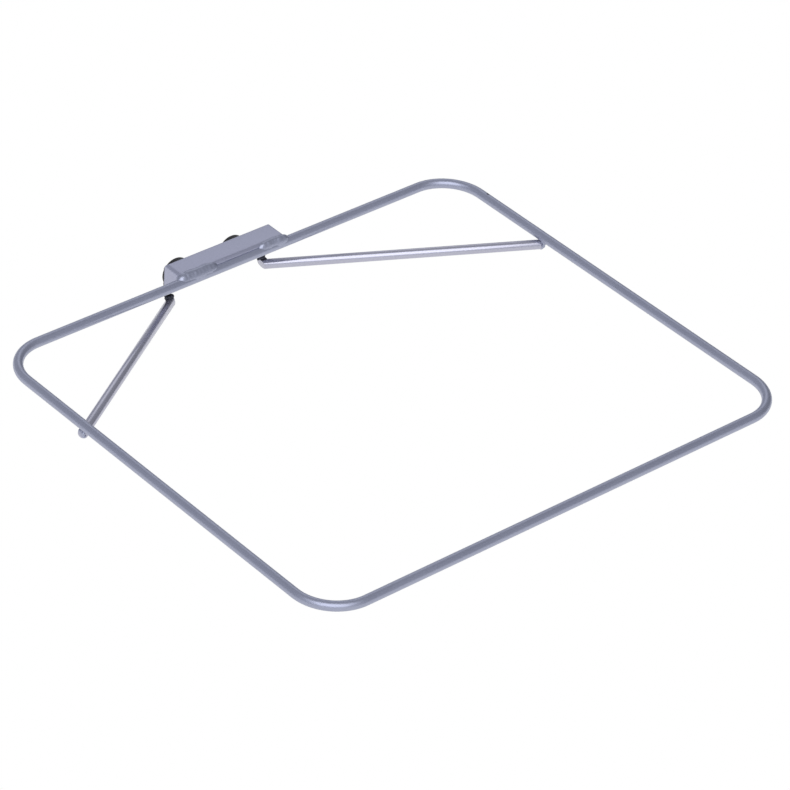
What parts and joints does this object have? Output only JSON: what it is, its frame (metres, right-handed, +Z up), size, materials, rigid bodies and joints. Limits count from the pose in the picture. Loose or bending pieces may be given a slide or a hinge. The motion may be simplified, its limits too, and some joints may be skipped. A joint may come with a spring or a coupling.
{
  "type": "bin bag holder",
  "caption": "Round-bar hoop that holds a sack's mouth open, braced under a folded bracket that clamps to an upright surface with two knobs.",
  "frame": {"origin": "on the pad's rear face, midway between the two studs", "axes": "+X along the hoop's back bar, +Y out of the pad's rear face towards the surface that holds it, +Z up"},
  "size_m": [0.46, 0.4345, 0.0427],
  "materials": {
    "hoop": "satin silver-grey powder coat",
    "bracket": "satin silver-grey powder coat on folded sheet",
    "brace": "satin silver-grey powder coat on drawn tube",
    "weld": "rippled weld beads under the powder coat",
    "pad": "matt black rubber",
    "stud": "bright zinc-plated thread",
    "washer": "bright zinc plate",
    "knob": "black moulded plastic, lightly grained",
    "insert": "turned brass"
  },
  "bodies": {
    "holder": {"hoop": "hoop", "bracket": "bracket", "brace_left": "brace", "brace_right": "brace", "bead_left": "weld", "bead_right": "weld", "rear_weld_left": "weld", "rear_weld_right": "weld", "side_weld_left": "weld", "side_weld_right": "weld", "back_pad": "pad", "stud_left": "stud", "stud_right": "stud"},
    "washer_left": {"washer_left": "washer"},
    "knob_left": {"knob_left": "knob", "insert_left": "insert"},
    "washer_right": {"washer_right": "washer"},
    "knob_right": {"knob_right": "knob", "insert_right": "insert"}
  },
  "joints": [
    {"name": "washer_left_slide", "type": "slide", "parent": "holder", "child": "washer_left", "axis": [0, 1, 0], "range_m": [0, 0.008]},
    {"name": "knob_left_turn", "type": "hinge", "parent": "washer_left", "child": "knob_left", "pos_m": [-0.028, 0, 0], "axis": [0, 1, 0], "range_deg": [0, 3610]},
    {"name": "washer_right_slide", "type": "slide", "parent": "holder", "child": "washer_right", "axis": [0, 1, 0], "range_m": [0, 0.008]},
    {"name": "knob_right_turn", "type": "hinge", "parent": "washer_right", "child": "knob_right", "pos_m": [0.028, 0, 0], "axis": [0, 1, 0], "range_deg": [0, 3610]}
  ],
  "couplings": [
    {"joint": "knob_left_turn", "follows": "washer_left_slide", "rad_per_m": 7854},
    {"joint": "knob_right_turn", "follows": "washer_right_slide", "rad_per_m": 7854}
  ]
}
